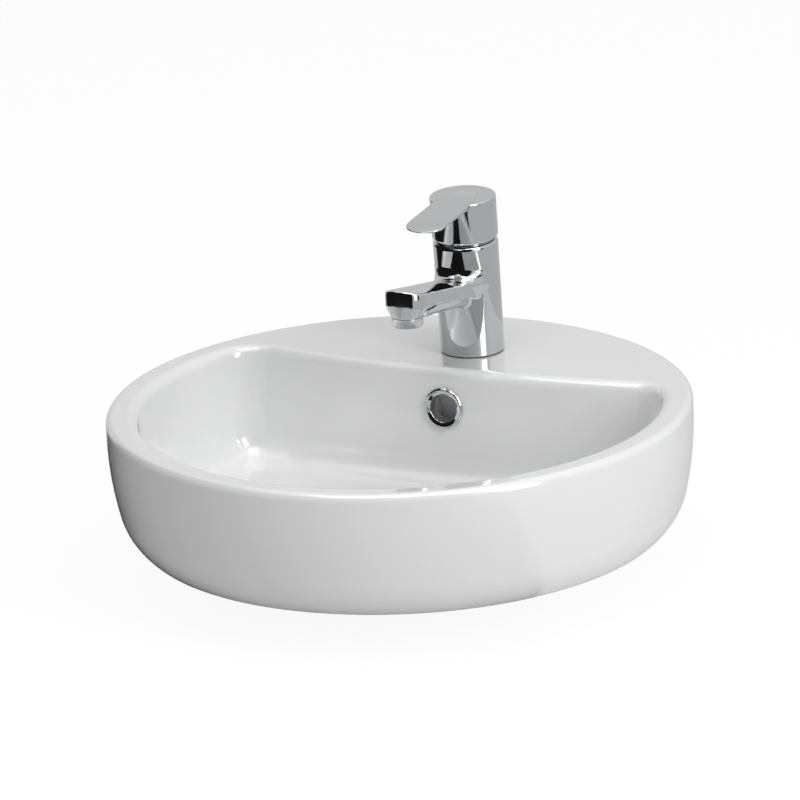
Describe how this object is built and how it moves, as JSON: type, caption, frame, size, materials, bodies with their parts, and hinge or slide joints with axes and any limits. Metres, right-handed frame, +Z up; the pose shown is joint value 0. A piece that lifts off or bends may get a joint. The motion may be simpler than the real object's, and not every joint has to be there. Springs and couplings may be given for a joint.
{
  "type": "countertop basin",
  "caption": "Round glazed countertop basin with a D-shaped bowl, a rear tap deck, a single-lever mixer, an overflow and a push waste.",
  "frame": {"origin": "centre of the foot ring's underside, on the countertop", "axes": "+Z up, -Y towards the user, +X to the user's right"},
  "size_m": [0.4399, 0.44, 0.256],
  "materials": {
    "glazed_ceramic": "gloss white glaze",
    "disc_ceramic": "lapped",
    "chrome": "polished chrome plate",
    "brass": "machined",
    "steel": "machined",
    "rubber": "moulded",
    "soft_seal": "moulded",
    "white_plastic": "moulded",
    "blue_plastic": "moulded"
  },
  "bodies": {
    "basin": {"basin": "glazed_ceramic", "overflow_ring": "chrome", "waste_body": "chrome", "waste_gasket": "soft_seal", "waste_seal": "rubber", "slip_washer": "white_plastic", "backnut": "brass", "click_barrel": "white_plastic", "click_spring": "steel", "tap_body": "chrome", "tap_base_seal": "rubber", "tap_stud": "steel", "horseshoe_seal": "rubber", "horseshoe_plate": "steel", "stud_nut": "brass", "aerator_housing": "chrome", "aerator_insert": "white_plastic", "aerator_seal": "rubber", "cartridge_base": "white_plastic", "cartridge_seals": "rubber", "fixed_disc": "disc_ceramic", "cartridge_housing": "white_plastic", "cartridge_nut": "brass", "dome_ring": "chrome"},
    "plug": {"plug_cap": "chrome", "plug_seal": "rubber", "plug_stem": "white_plastic"},
    "swing": {"cartridge_rotor": "blue_plastic", "pivot_pin": "steel"},
    "lever": {"lever": "chrome", "lever_screw": "steel", "lever_plug": "chrome", "spindle": "steel"},
    "discs": {"moving_disc": "disc_ceramic", "disc_carrier": "blue_plastic"}
  },
  "joints": [
    {"name": "plug_travel", "type": "slide", "parent": "basin", "child": "plug", "axis": [0, 0, 1], "range_m": [0, 0.008], "deforming": ["click_spring"]},
    {"name": "lever_swing", "type": "hinge", "parent": "basin", "child": "swing", "pos_m": [0, 0.12946, 0.19991], "axis": [0, -0.0506, 0.9987], "range_deg": [-50, 50]},
    {"name": "lever_lift", "type": "hinge", "parent": "swing", "child": "lever", "pos_m": [0, 0.12946, 0.19991], "axis": [-1, 0, 0], "range_deg": [0, 22]},
    {"name": "disc_slide", "type": "slide", "parent": "swing", "child": "discs", "axis": [0, -0.9987, -0.0506], "range_m": [0, 0.0042]}
  ],
  "couplings": [
    {"joint": "disc_slide", "follows": "lever_lift", "m_per_rad": 0.010928}
  ]
}
